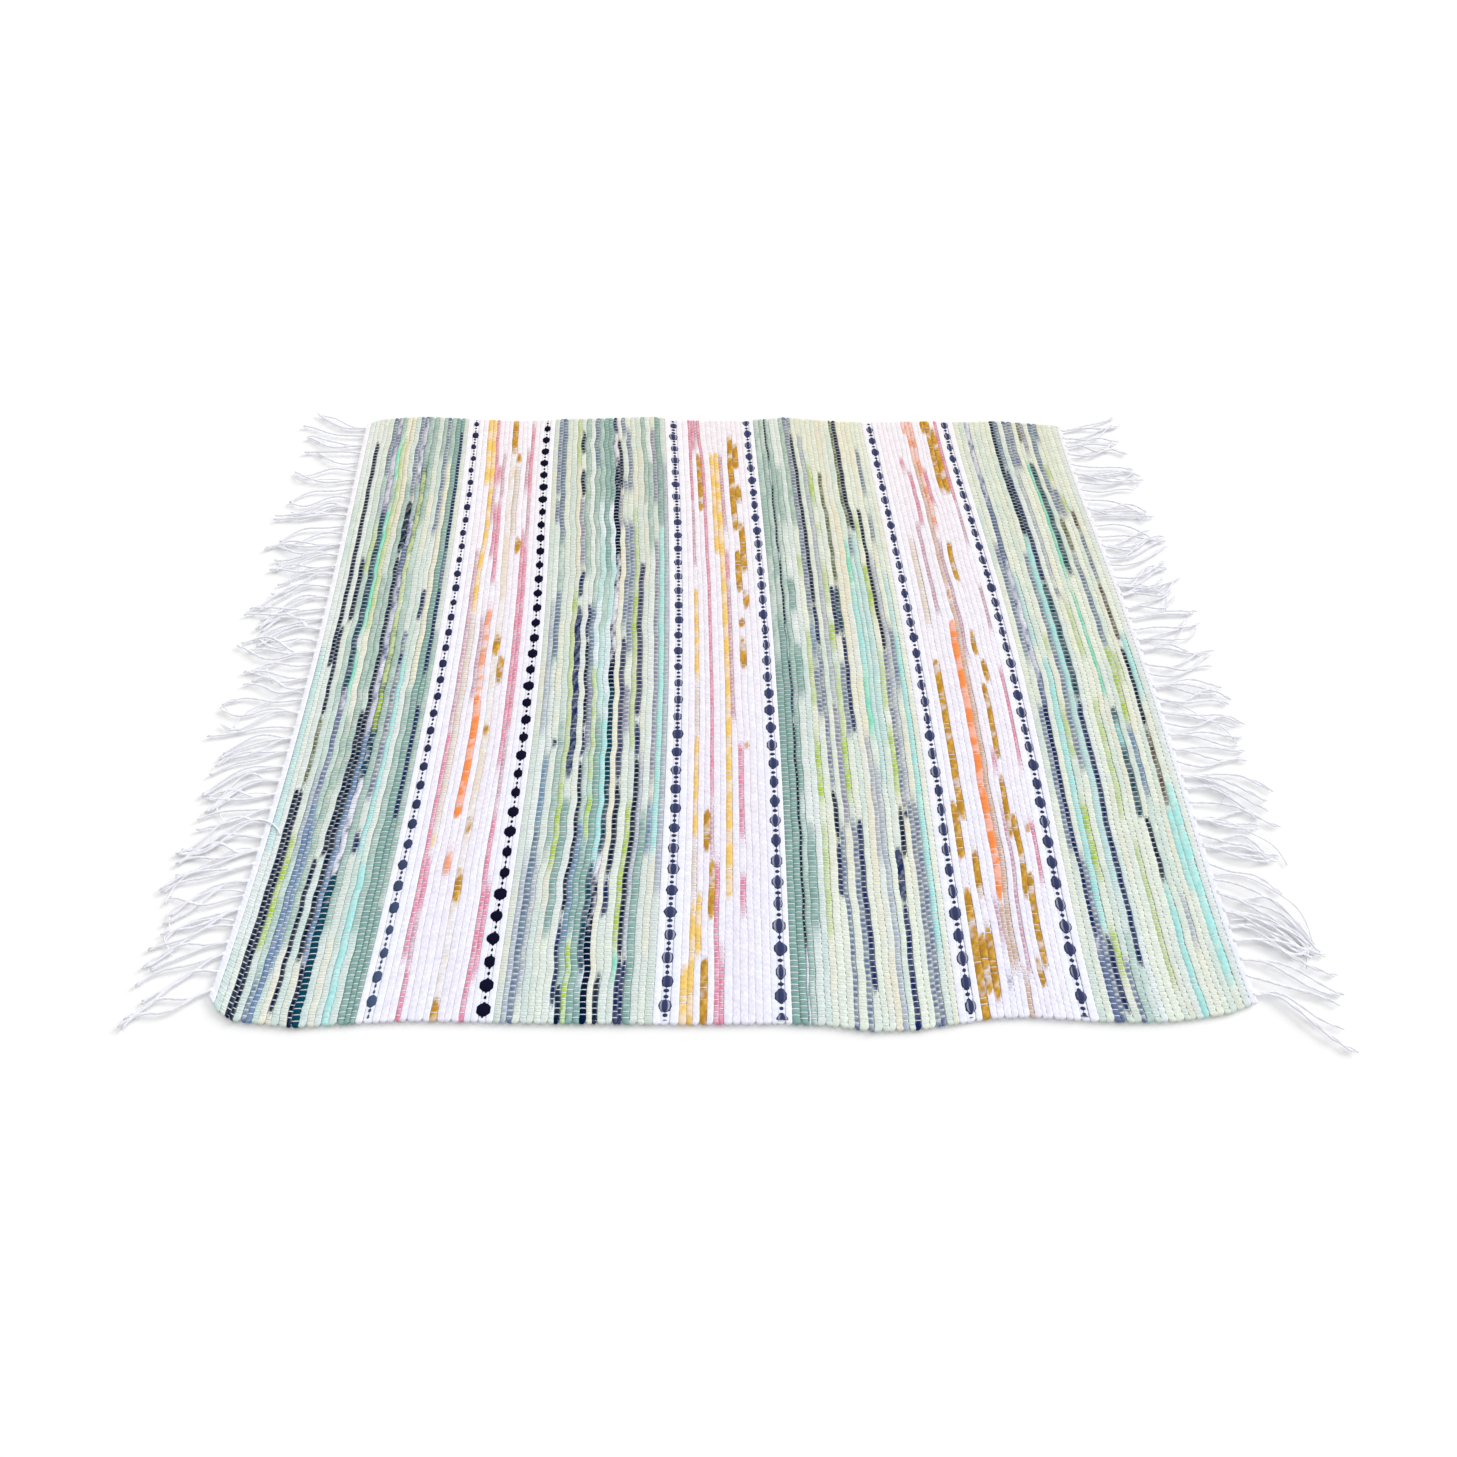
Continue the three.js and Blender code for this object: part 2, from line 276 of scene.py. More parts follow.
PALE_2_LEFT = (
    ("blush", ("gold", 0.93, 1)),
    ("blush", ("rose", 0, 0.20), ("dust", 0.2, 0.33), ("gold", 0.37, 0.54), ("sand", 0.54, 0.62),
     ("gold", 0.62, 0.78), ("sand", 0.78, 0.86), ("gold", 0.86, 1)),
    ("blush", ("rose", 0, 0.08), ("gold", 0.85, 0.93)),
    ("blush", ("dust", 0, 0.06), ("ochre", 0.08, 0.21), ("ochre", 0.73, 0.79), ("ochre", 0.92, 1)),
    ("blush", ("rose", 0, 0.72), ("dust", 0.72, 0.80), ("ochre", 0.80, 0.88)),
    ("blush", ("rose", 0.80, 1)),
    ("blush", ("gold", 0.08, 0.30), ("rose", 0.92, 1)),
    ("blush", ("gold", 0.08, 0.86)),
)
PALE_2_RIGHT = (
    ("blush", ("dust", 0.08, 0.25), ("rose", 0.30, 0.36), ("dust", 0.36, 0.60)),
    ("blush", ("rose", 0.64, 0.78), ("rose", 0.82, 0.87)),
    ("blush", ("ochre", 0.03, 0.26), ("ochre", 0.29, 0.38), ("ochre", 0.42, 0.45),
     ("ochre", 0.46, 0.52), ("ochre", 0.64, 0.65)),
    ("blush", ("ochre", 0.06, 0.12), ("ochre", 0.15, 0.20), ("ochre", 0.23, 0.34),
     ("ochre", 0.37, 0.41)),
    ("blush",),
)
GREEN_3 = (
    ("sage", ("teal", 0.50, 1)),
    ("sage", ("teal", 0.42, 1)),
    ("fine", ("black", 0, 0.10), ("black", 0.15, 0.30), ("black", 0.32, 0.44),
     ("navy", 0.5, 0.60), ("black", 0.60, 0.92)),
    ("sage", ("teal", 0.60, 0.72)),
    ("white", ("sage", 0.12, 0.25), ("teal", 0.35, 0.42), ("teal", 0.47, 0.57),
     ("teal", 0.76, 0.90)),
    ("white",),
    ("pearl", ("sage", 0, 0.25), ("pale_lime", 0.30, 0.35), ("pale_lime", 0.45, 0.58),
     ("lime", 0.62, 0.73), ("pale_lime", 0.75, 0.90)),
    ("pearl", ("slate", 0, 0.43), ("blue", 0.43, 0.50), ("slate", 0.50, 0.60)),
    ("pearl", ("slate", 0, 0.04), ("black", 0.04, 0.40), ("navy", 0.40, 0.48),
     ("dashed_navy", 0.48, 0.70), ("black", 0.70, 0.77), ("navy", 0.77, 0.85)),
    ("pearl", ("slate", 0.75, 1)),
    ("pearl", ("pale_slate", 0.04, 0.57), ("mauve", 0.57, 0.75)),
    ("pearl", ("lime", 0.12, 0.20), ("pale_lime", 0.24, 0.26), ("pale_lime", 0.32, 0.40),
     ("lime", 0.43, 0.48), ("pale_lime", 0.51, 0.60), ("lime", 0.60, 0.72), ("slate", 0.74, 1)),
    ("pearl", ("navy", 0.36, 0.46), ("slate", 0.50, 0.62), ("navy", 0.74, 0.96)),
    ("pearl", ("olive", 0.12, 0.36), ("deep", 0.36, 0.45), ("navy", 0.45, 0.62)),
    ("butter",),
    ("butter", ("pale_slate", 0.62, 0.80)),
    ("pearl", ("green", 0.27, 0.36), ("aqua", 0.36, 0.52), ("green", 0.52, 0.62),
     ("pale_slate", 0.66, 1)),
    ("pearl", ("olive", 0, 0.25), ("slate", 0.25, 0.31), ("pale_aqua", 0.31, 0.70)),
    ("pearl", ("black", 0, 0.25), ("pale_aqua", 0.25, 0.63), ("navy", 0.78, 0.86, "bare"),
     ("navy", 0.86, 1)),
    ("pearl", ("pale_lime", 0.22, 0.28), ("lime", 0.32, 0.42), ("pale_lime", 0.48, 0.58),
     ("lime", 0.61, 0.71), ("black", 0.73, 0.80)),
    ("pearl", ("black", 0.20, 0.48), ("dashed_navy", 0.48, 0.73), ("navy", 0.73, 0.75, "bare")),
    ("pearl", ("pale_slate", 0.30, 0.72), ("slate", 0.72, 1)),
    ("pearl", ("slate", 0.07, 0.17), ("slate", 0.22, 0.28), ("slate", 0.43, 0.55),
     ("slate", 0.72, 1)),
    ("pearl", ("pale_aqua", 0.33, 0.45), ("aqua", 0.45, 0.92)),
    ("pearl",),
)
PALE_3 = (
    ("blush", ("ochre", 0.72, 0.81), ("ochre", 0.84, 1)),
    ("blush", ("sand", 0.27, 0.44), ("ochre", 0.50, 0.75), ("ochre", 0.90, 0.98)),
    ("blush", ("ochre", 0.79, 0.86), ("ochre", 0.89, 0.98)),
    ("blush", ("rose", 0.09, 0.12), ("dust", 0.24, 0.42)),
    ("blush", ("rose", 0.12, 0.24), ("dust", 0.86, 0.92), ("mauve", 0.95, 0.97)),
    ("blush", ("salmon", 0, 0.03), ("flame", 0.43, 0.86), ("tan", 0.86, 0.95)),
    ("blush", ("salmon", 0, 0.11), ("tan", 0.10, 0.37), ("ochre", 0.37, 0.39), ("tan", 0.39, 0.95)),
    ("blush", ("salmon", 0, 0.25), ("dust", 0.27, 0.50), ("tan", 0.95, 1)),
    ("blush", ("rose", 0.11, 0.20), ("rose", 0.65, 0.68), ("dust", 0.73, 0.95)),
    ("blush", ("ochre", 0.27, 0.36), ("ochre", 0.45, 0.50), ("ochre", 0.54, 0.66),
     ("ochre", 0.69, 0.78)),
    ("blush", ("ochre", 0, 0.03), ("ochre", 0.50, 0.54), ("ochre", 0.74, 0.86),
     ("ochre", 0.93, 0.97)),
    ("blush", ("ochre", 0, 0.17), ("ochre", 0.82, 0.94)),
    ("blush", ("ochre", 0.02, 0.17), ("ochre", 0.75, 0.77)),
    ("blush", ("rose", 0, 0.20), ("dust", 0.20, 0.28), ("dust", 0.36, 0.45), ("rose", 0.52, 0.67),
     ("rose", 0.75, 0.84)),
)
GREEN_4 = (
    ("pearl",),
    ("pearl", ("slate", 0.28, 0.50), ("slate", 0.57, 0.80)),
    ("slate", ("navy", 0.57, 0.90)),
    ("pearl", ("pale_aqua", 0.33, 0.48), ("slate", 0.80, 1)),
    ("pearl", ("aqua", 0.50, 0.90), ("navy", 0.90, 0.99)),
    ("pearl", ("pale_lime", 0.46, 0.49), ("pale_lime", 0.57, 0.66), ("lime", 0.72, 0.83),
     ("lime", 0.89, 0.95)),
    ("pearl", ("slate", 0.30, 0.68), ("slate", 0.93, 1)),
    ("mint", ("black", 0, 0.27), ("aqua", 0.27, 0.55), ("pale_aqua", 0.55, 0.85)),
    ("mint", ("slate", 0, 0.12), ("navy", 0.12, 0.36), ("deep", 0.36, 0.57), ("navy", 0.57, 0.94)),
    ("white",),
    ("pearl", ("slate", 0, 0.12), ("pale_slate", 0.12, 0.35), ("slate", 0.36, 0.39)),
    ("pearl", ("slate", 0, 0.12), ("pale_lime", 0.39, 0.50), ("pale_lime", 0.57, 0.75)),
    ("pearl", ("pale_lime", 0.78, 0.97)),
    ("pearl", ("olive", 0, 0.05), ("green", 0.09, 0.35), ("green", 0.37, 0.56)),
    ("pearl", ("mauve", 0, 0.08), ("deep", 0.09, 0.34), ("deep", 0.58, 0.75), ("aqua", 0.60, 0.65)),
    ("pearl", ("black", 0.75, 0.84), ("aqua", 0.84, 1, "bare")),
    ("pearl", ("slate", 0, 0.22), ("olive", 0.22, 0.30), ("slate", 0.30, 0.48), ("lime", 0.48, 0.61),
     ("blue", 0.61, 0.72)),
    ("pearl", ("slate", 0, 0.05), ("pale_lime", 0.10, 0.14), ("slate", 0.15, 0.22),
     ("pale_lime", 0.48, 0.54), ("pale_slate", 0.85, 0.92)),
    ("pearl", ("pale_lime", 0.17, 0.21)),
    ("pearl", ("brown", 0.20, 0.25), ("dashed_navy", 0.25, 0.36), ("brown", 0.36, 0.47),
     ("black", 0.48, 0.62), ("brown", 0.62, 0.74), ("aqua", 0.74, 0.85, "bare")),
    ("pearl", ("aqua", 0.45, 0.57), ("aqua", 0.70, 0.97, "bare")),
    ("white",),
)
BORDER = (("snow",), ("core",), ("snow",))
HEADING = (("yarn",),)

# The bands in order from the left: CAD node, width, rows.
BANDS = (
    ("heading_left", 5, HEADING),
    ("green_band_1", 105, GREEN_1),
    ("white_border_1", 17, BORDER),
    ("pale_band_1", 62, PALE_1),
    ("white_border_2", 16, BORDER),
    ("green_band_2", 116, GREEN_2),
    ("white_border_3", 18, BORDER),
    ("pale_band_2_left", 36, PALE_2_LEFT),
    ("pale_band_2_right", 26, PALE_2_RIGHT),
    ("white_border_4", 14, BORDER),
    ("green_band_3", 118, GREEN_3),
    ("white_border_5", 17, BORDER),
    ("pale_band_3", 67, PALE_3),
    ("white_border_6", 18, BORDER),
    ("green_band_4", 110, GREEN_4),
    ("heading_right", 5, HEADING),
)

# Beaded cords: dye, half the width of a bead, and the thread at the middle of its first bead.
CORDS = (
    ("indigo", 3.6, 3),
    ("ink", 5.3, 6),
    ("plum", 5.0, 4),
    ("plum", 5.0, 1),
    ("plum", 4.8, 5),
    ("plum", 4.8, 2),
)
BEAD_EVERY = 8  # threads from one bead to the next
BEAD_REACH = 1.95  # threads from the middle of a bead to its end
UNDER_A_BEAD = (0, 1, 7)  # threads that a bead covers, counted from its middle, round to the next
CORD_SIDES = 28
CORD_MIDDLE = 3.1  # height of the middle of a cord
CORD_BELOW = 1.0  # how far it reaches below that
PLY_SIDES = (4, 9)  # sides of a cord where the white shows between its plies


def linear(name):
    """A dye as linear red, green and blue."""
    code = DYES[name]
    srgb = np.array([int(code[i:i + 2], 16) / 255 for i in (0, 2, 4)])
    return np.where(srgb <= 0.04045, srgb / 12.92, ((srgb + 0.055) / 1.055) ** 2.4)


def ease(share):
    """A share from 0 to 1 with a soft start and end."""
    share = np.clip(share, 0, 1)
    return share * share * (3 - 2 * share)


def bend(across, along):
    """The shift across of a point of the flat cloth."""
    lines = np.array(list(BENDS))
    shifts = []
    for places in BENDS.values():
        curve = np.polyfit(np.linspace(0, 1, 5), places, 4)
        shifts.append(np.polyval(curve, along))
    shifts = np.array(shifts)
    across, along = np.broadcast_arrays(across, along)
    place = np.interp(across, lines, np.arange(len(lines)))
    low = np.clip(place.astype(int), 0, len(lines) - 2)
    share = place - low
    columns = np.broadcast_to(np.arange(along.shape[-1]), along.shape)
    return shifts[low, columns] * (1 - share) + shifts[low + 1, columns] * share


def read_off(table, place):
    """The distance that a table gives for a place, on straight lines between its points."""
    places, distances = np.array(table, float).T
    return np.interp(place, places, distances)


def lengthwise(across, along):
    """Y of a point of the cloth."""
    far = HALF_LENGTH + read_off(FAR_WAVE, across)
    near = HALF_LENGTH + read_off(NEAR_WAVE, across)
    return far - (far + near) * along


class Row:
    """One rag row: its dyes, and how it swells along its length."""

    def __init__(self, design, number):
        self.ground, self.streaks = design[0], design[1:]
        self.number = number
        self.phases = rng.uniform(0, 2 * math.pi, 4)
        self.thin = self.ground == "fine"
        self.usual = rng.uniform(0.84, 1.16)
        self.shade = rng.uniform(0.97, 1.02)
        choice = DRIFTS.get(self.ground, ("snow",))
        self.drifts = [choice[i] for i in rng.integers(0, len(choice), 2)]
        if self.thin:
            self.ground = "teal"
            self.usual = FINE_WIDTH
        if self.ground in ("core", "snow"):
            self.usual = 1.15 if self.ground == "core" else 1.0

    def slow(self, along):
        """A slow waver between -1 and 1."""
        a, b, c = self.phases[:3]
        return (
            0.5 * np.sin(5 * along + a)
            + 0.3 * np.sin(13 * along + b)
            + 0.2 * np.sin(31 * along + c)
        )

    def quick(self, along):
        """A short waver between -1 and 1, like the lumps of a torn strip."""
        a, b, c = self.phases[[0, 1, 3]]
        return (
            0.5 * np.sin(83 * along + b)
            + 0.3 * np.sin(147 * along + c)
            + 0.2 * np.sin(233 * along + a)
        )

    def blotch(self, along, aside):
        """Patches of dye a few millimetres long, between about -1 and 1."""
        a, b, c = self.phases[:3]
        long_patch = np.sin(131 * along + a + 1.1 * aside)
        short_patch = np.sin(271 * along + b - 1.9 * aside)
        speck = np.sin(517 * along + c + 2.7 * aside)
        return 0.45 * long_patch + 0.35 * short_patch + 0.3 * speck

    def cover(self, streak, along, fade=None, point=0.0):
        """1 along the part of the row that a streak covers, with soft, rounded ends."""
        start, end = streak[1] + point, streak[2] - point
        if fade is None:
            fade = SLOW_FADE if streak[0] in SLOW_DYES else FADE
        shake = 0.004 * np.sin(97 * along + self.phases[3])
        into = ease((along + shake - start) / fade + 0.5) if streak[1] > 0 else 1.0
        out = ease((end - along - shake) / fade + 0.5) if streak[2] < 1 else 1.0
        return into * out

    def bare(self, along):
        """1 where the rag hides the warp, 0 where the warp crosses it."""
        hidden = np.zeros_like(along)
        patches = ease(0.75 + 0.9 * self.blotch(along, 0.5))
        for streak in self.streaks:
            if streak[0] in BARE_DYES or len(streak) > 3:
                strength = 0.95 if len(streak) > 3 else 0.8
                hidden = np.maximum(hidden, strength * self.cover(streak, along))
        return hidden * patches

    def width(self, along):
        """The width of the row beside that of its neighbours."""
        bunched = np.zeros_like(along)
        thinned = np.zeros_like(along)
        for streak in self.streaks:
            thinned += THIN_DYES.get(streak[0], 0.0) * self.cover(streak, along, WIDTH_FADE)
            if len(streak) > 3:
                bunched = np.maximum(bunched, self.cover(streak, along, WIDTH_FADE))
        lumps = 0.07 - 0.04 * FLAT_GROUNDS.get(self.ground, 0)
        waver = 0.09 * self.slow(along) + lumps * self.quick(along)
        return self.usual * (1 + waver + 0.25 * bunched) * (1 - thinned)

    def dyed(self, along):
        """1 where a streak covers the row."""
        covered = np.zeros_like(along)
        for streak in self.streaks:
            covered = np.maximum(covered, self.cover(streak, along))
        return covered

    def flat(self, along):
        """How flat and pale the row lies, from 0 to 1."""
        return FLAT_GROUNDS.get(self.ground, 0) * (1 - 0.8 * self.dyed(along))

    def patches(self, name, along, aside):
        """The share of a dye that is left once it has broken up."""
        reach = PATCHY.get(name, USUAL_PATCHY)
        if name in BARE_DYES:
            wide = self.quick(1.2 * along + 0.004 * aside) + 0.45 * self.blotch(along, aside)
            if name == "ochre":
                return 1 - reach * ease(-0.5 - 2.0 * wide)
            return 1 - reach * ease(0.40 - 3.0 * wide)
        return 1 - reach * ease(0.45 - 1.1 * self.blotch(along, aside))

    def tint(self, along, dash, aside):
        """The dye over the row, with painted highlights on its ochre. dash is 1 midway between two
        ticks and 0 under a tick.
        """
        along, dash, aside = np.broadcast_arrays(along[:, None], dash[:, None], aside)
        ground = "snow" if self.ground == "core" else self.ground
        colour = np.broadcast_to(linear(ground), along.shape + (3,)).copy()
        for drift, phase in zip(self.drifts, self.phases):
            patch = 0.7 * self.blotch(0.6 * along, aside)
            share = 0.65 * ease(0.9 * np.sin(17 * along + phase) + patch)
            colour += share[..., None] * (linear(drift) - colour)
        blotch = self.blotch(along, aside)
        turned = ease((np.abs(along - 0.5) - TURN_FROM) / TURN_FADE)
        side = ease((np.abs(aside) - 0.76) / 0.24) * (1 - turned)
        for streak in self.streaks:
            name = streak[0]
            share = self.cover(streak, along + 0.004 * blotch, point=0.012 * aside ** 2)
            share = share * self.patches(name, along, aside)
            if len(streak) < 4:
                share = share * (1 - FLANKED.get(name, USUAL_FLANKED) * side)
            else:
                share = share * (1 - 0.25 * ease(-1.6 * self.blotch(2.3 * along, 2 * aside)))
            if name in DASHED_DYES:
                share = share * (0.2 + 0.8 * dash)
            own = linear(name)
            # Painted golden highlights: lighter patches over the ochre.
            if name == "ochre":
                painted_highlights = ease(0.2 + 1.1 * self.blotch(1.3 * along, 1.5 * aside))
                own = own + painted_highlights[..., None] * (linear("ochre_highlight") - own)
            colour += share[..., None] * (own - colour)
        mottle = 1 + 0.05 * self.blotch(along * 1.7, 0.5 * aside)
        cooler = 1 + (along[..., None] - 0.5) * COOLING
        return np.clip(colour * cooler * (mottle * self.shade)[..., None], 0, 1)


class Band:
    """One colour band: the rag rows between two lines across the mat."""

    def __init__(self, name, left, width, designs, first_number):
        self.name, self.left, self.span = name, left, width
        self.rows = [Row(design, first_number + i) for i, design in enumerate(designs)]

    def edges(self, along):
        """Where each row starts and ends across, one line for each edge."""
        widths = np.array([row.width(along) for row in self.rows])
        ends = np.cumsum(widths, axis=0)
        shares = np.vstack([np.zeros_like(along), ends]) / ends[-1]
        return self.left + self.span * shares


def make_bands():
    """All the bands, side by side from left to right."""
    bands = []
    left = -HALF_WIDTH
    number = 0
    for name, width, designs in BANDS:
        bands.append(Band(name, left, width, designs, number))
        left += width
        number += len(designs)
    return bands


class Cloth:
    """Tubes gathered into one mesh, with a colour at each point."""

    def __init__(self):
        self.points, self.tints, self.sides, self.caps = [], [], [], []
        self.count = 0

    def tube(self, rings, tints):
        """rings has the shape (rings, points, 3). tints is a colour for each point or ring."""
        length, sides = rings.shape[:2]
        ids = self.count + np.arange(length * sides).reshape(length, sides)
        here, there = ids[:-1], ids[1:]
        next_here, next_there = np.roll(here, -1, 1), np.roll(there, -1, 1)
        self.sides.append(np.stack([here, next_here, next_there, there], -1).reshape(-1, 4))
        self.caps.append(ids[0][::-1])
        self.caps.append(ids[-1])
        self.points.append(rings.reshape(-1, 3))
        if tints.ndim == 2:
            tints = np.repeat(tints[:, None], sides, 1)
        self.tints.append(tints.reshape(-1, 3))
        self.count += length * sides

    def build(self, name, material):
        """The gathered tubes as one piece, with its faces turned outwards."""
        points = np.concatenate(self.points) * MM
        tints = np.concatenate(self.tints)
        quads = np.concatenate(self.sides)
        corners = points[quads]
        fan = np.cross(corners[:, 1] - corners[:, 0], corners[:, 2] - corners[:, 0])
        outwards = (fan * corners[:, 0]).sum() > 0
        caps = self.caps
        if not outwards:
            quads = quads[:, ::-1]
            caps = [cap[::-1] for cap in caps]
        corner_ids = np.concatenate([quads.ravel()] + list(caps))
        totals = np.concatenate([np.full(len(quads), 4), [len(cap) for cap in caps]])
        starts = np.concatenate([[0], np.cumsum(totals)[:-1]])
        mesh = bpy.data.meshes.new(name)
        mesh.vertices.add(len(points))
        mesh.vertices.foreach_set("co", points.ravel().astype(np.float32))
        mesh.loops.add(len(corner_ids))
        mesh.loops.foreach_set("vertex_index", corner_ids.astype(np.int32))
        mesh.polygons.add(len(totals))
        mesh.polygons.foreach_set("loop_start", starts.astype(np.int32))
        mesh.polygons.foreach_set("loop_total", totals.astype(np.int32))
        mesh.polygons.foreach_set("use_smooth", np.ones(len(totals), bool))
        mesh.update(calc_edges=True)
        colours = mesh.color_attributes.new("tint", "FLOAT_COLOR", "POINT")
        rgba = np.ones((len(points), 4), np.float32)
        rgba[:, :3] = tints
        colours.data.foreach_set("color", rgba.ravel())
        mesh.materials.append(material)
        piece = bpy.data.objects.new(name, mesh)
        bpy.context.scene.collection.objects.link(piece)
        return piece


def row_places(number):
    """Where the rings of a row lie along it, and how near each is to a tick: 1 at it, 0 between."""
    cells = np.arange(-1, THREADS // 2 + 1)
    start = (2 * cells[:, None] + number % 2 + 0.5 + 2 * np.array(RING_PHASES)) / THREADS
    press = np.broadcast_to(np.array([1.0, 0.0, 0.0]), start.shape)
    along, press = start.ravel(), press.ravel()
    inside = (along > 0.0035) & (along < 0.9965)
    rounded = np.array(ROUNDED)
    along = np.concatenate([rounded, along[inside], 1 - rounded[::-1]])
    none = np.zeros(len(rounded))
    press = np.concatenate([none, press[inside], none])
    return along, press


def weave_row(cloth, band, index):
    """Adds one rag row of a band to the cloth."""
    row = band.rows[index]
    along, press = row_places(row.number)
    edges = band.edges(along)
    left, right = edges[index], edges[index + 1]
    bare = row.bare(along)
    last = len(ROUNDED)
    ends = np.ones_like(along)
    ends[:last] = ROUNDED_SIZES
    ends[-last:] = ROUNDED_SIZES[::-1]
    partner = 1 if row.number % 2 else -1
    lean = np.zeros_like(along)
    if 0 < index < len(band.rows) - 1:
        lean[:last] = TURN
        lean[-last:] = -np.array(TURN[::-1])
    flat = row.flat(along)
    waist = 0.10 * press * (1 - bare) * (1 - 0.8 * flat)
    half = (right - left) / 2 * (1.0 - waist + 0.05 * bare) * ends
    middle = (left + right) / 2 + partner * lean * half
    depth = (PINCH + (BARE_PINCH - PINCH) * bare) * (1 - 0.75 * flat ** 3)
    lump = (0.10 * row.slow(along * 3) + 0.16 * row.quick(along * 1.3)) * (1 - 0.6 * flat)
    top = (ROW_TOP + lump + 0.15 * bare - depth * press - MIDDLE) * ends
    if row.ground == "core":
        top = top - CORE_SINK
    if row.thin:
        top = top + FINE_RISE
    down = (MIDDLE - ROW_BOTTOM) * ends
    across = middle[:, None] + half[:, None] * RING_ACROSS
    height = np.where(RING_UP > 0, top[:, None], down[:, None])
    shape = ease(1.6 * flat)[:, None]
    up = MIDDLE + height * (RING_UP + shape * (SMOOTH_UP - RING_UP))
    inner = np.clip(along, 0, 1)
    x = across + bend(across.T, inner).T
    y = lengthwise(x, along[:, None])
    tints = row.tint(along, 1 - press, RING_ACROSS)
    cloth.tube(np.stack([x, y, up], -1), tints)


def crest(row, along):
    """Height of a warp thread where it crosses over a row."""
    over = CREST + (HIDDEN_CREST - CREST) * row.bare(along)
    if row.ground == "core":
        over = over - 0.35
    return over


def beaded(cord, threads):
    """1 on the threads that a bead covers."""
    return np.isin((threads - CORDS[cord][2]) % BEAD_EVERY, UNDER_A_BEAD).astype(float)


def weave_warp(bands, first, last, name, material):
    """Warp threads first to last through the bands, over one row and under the next."""
    cloth = Cloth()
    threads = np.arange(first, last)
    along = (threads + 0.5) / THREADS
    xs, zs, thickness, tints = [], [], [], []
    yarn = linear("yarn")
    for band in bands:
        edges = band.edges(along)
        for i, row in enumerate(band.rows):
            over = (threads + row.number) % 2 == 0
            under = row.tint(along, np.ones_like(along), np.array([0.0]))[:, 0]
            dark = ease(1 - 5 * under.mean(axis=1))
            high = crest(row, along)
            if row.ground == "core":
                cord = int(band.name[-1]) - 1
                high = high - 1.2 * beaded(cord, threads)
            height = np.where(over, high, TROUGH)
            left, right = edges[i], edges[i + 1]
            xs += [left] + [left + shoulder * (right - left) for shoulder in SHOULDERS]
            zs += [np.full(len(threads), DIVE), height, height]
            pressed = 1 + 0.20 * (1 - row.flat(along)) - 0.26 * dark
            stained = yarn + STAIN * (1 - 0.7 * dark[:, None]) * (under - yarn)
            thickness += [np.ones(len(threads)), pressed, pressed]
            tints += [stained, stained, stained]
    xs.append(edges[-1])
    zs.append(np.full(len(threads), DIVE))
    thickness.append(np.ones(len(threads)))
    tints.append(stained)
    across, up, thickness = np.array(xs), np.array(zs), np.array(thickness)
    across = across + bend(across, along)
    y = lengthwise(across, along)
    turns = np.arange(THREAD_SIDES) * 2 * math.pi / THREAD_SIDES
    tints = np.array(tints)
    for k in range(len(threads)):
        radius = THREAD_RADIUS * (1 + 0.08 * math.sin(2.3 * threads[k])) * thickness[:, k, None]
        rings = np.empty((len(xs), THREAD_SIDES, 3))
        rings[:, :, 0] = across[:, k, None]
        rings[:, :, 1] = y[:, k, None] + radius * np.cos(turns)
        rings[:, :, 2] = up[:, k, None] + radius * np.sin(turns)
        cloth.tube(rings, tints[:, k])
    return cloth.build(name, material)


def bead_cord(band, cord, material):
    """A dyed cord that surfaces as a bead and dips under the warp between two beads."""
    cloth = Cloth()
    dye, half_bead, first = CORDS[cord]
    along = np.linspace(0.003, 0.997, 4 * THREADS)
    edges = band.edges(along)
    middle = (edges[1] + edges[2]) / 2
    thread = along * THREADS - 0.5
    number = np.floor((thread - first) / BEAD_EVERY + 0.5).astype(int) + 1
    sizes = rng.uniform(0.78, 1.12, number.max() + 1)
    shifts = rng.uniform(-0.7, 0.7, number.max() + 1)
    squares = rng.uniform(1.6, 2.8, number.max() + 1)
    offset = thread - first - BEAD_EVERY * (number - 1)
    grown = sizes[number] * (0.95 + 0.2 * along ** 2)
    share = np.clip(np.abs(offset) / (BEAD_REACH * (0.55 + 0.45 * grown)), 0, 1)
    bead = (1 - share ** squares[number]) ** (1 / squares[number])
    tick = np.abs((thread + band.rows[1].number) % 2 - 1)
    dot = ease((tick - 0.35) / 0.4) * (0.75 + 0.25 * np.sin(3.7 * np.round(thread)))
    thick = 1 if dye == "plum" else 0
    half = np.maximum(half_bead * grown * bead, 0.7 + 0.5 * thick + (0.55 + 0.5 * thick) * dot)
    top = np.maximum(1.0 + 1.55 * bead, 0.98 + (0.95 + 0.35 * thick) * dot)
    turns = (np.arange(CORD_SIDES) + 0.5) * 2 * math.pi / CORD_SIDES
    drift = shifts[number] * ease(bead * 1.5)
    x = (middle + drift)[:, None] + half[:, None] * np.cos(turns)
    lift = np.where(np.sin(turns) > 0, top[:, None], CORD_BELOW)
    z = CORD_MIDDLE + lift * np.sin(turns)
    x = x + bend(x.T, along).T
    y = lengthwise(x, along[:, None])
    near_edge = ease((along - 0.6) / 0.4)[:, None]
    faded = 0.5 * near_edge * (dye == "indigo") + 0.12 * (dye == "plum")
    tints = linear(dye) + faded * (linear("blue") - linear(dye)) * 0.55
    parted = np.where(rng.random(number.max() + 1) < 0.55, 0.5, 0.1) * (dye == "plum")
    ply = np.isin(np.arange(CORD_SIDES), PLY_SIDES)
    shares = (ply * (parted[number] * bead)[:, None])[..., None]
    tints = tints[:, None] + shares * (linear("yarn") - tints[:, None])
    cloth.tube(np.stack([x, y, z], -1), tints)
    return cloth.build("dotted_cord_%d" % (cord + 1), material)


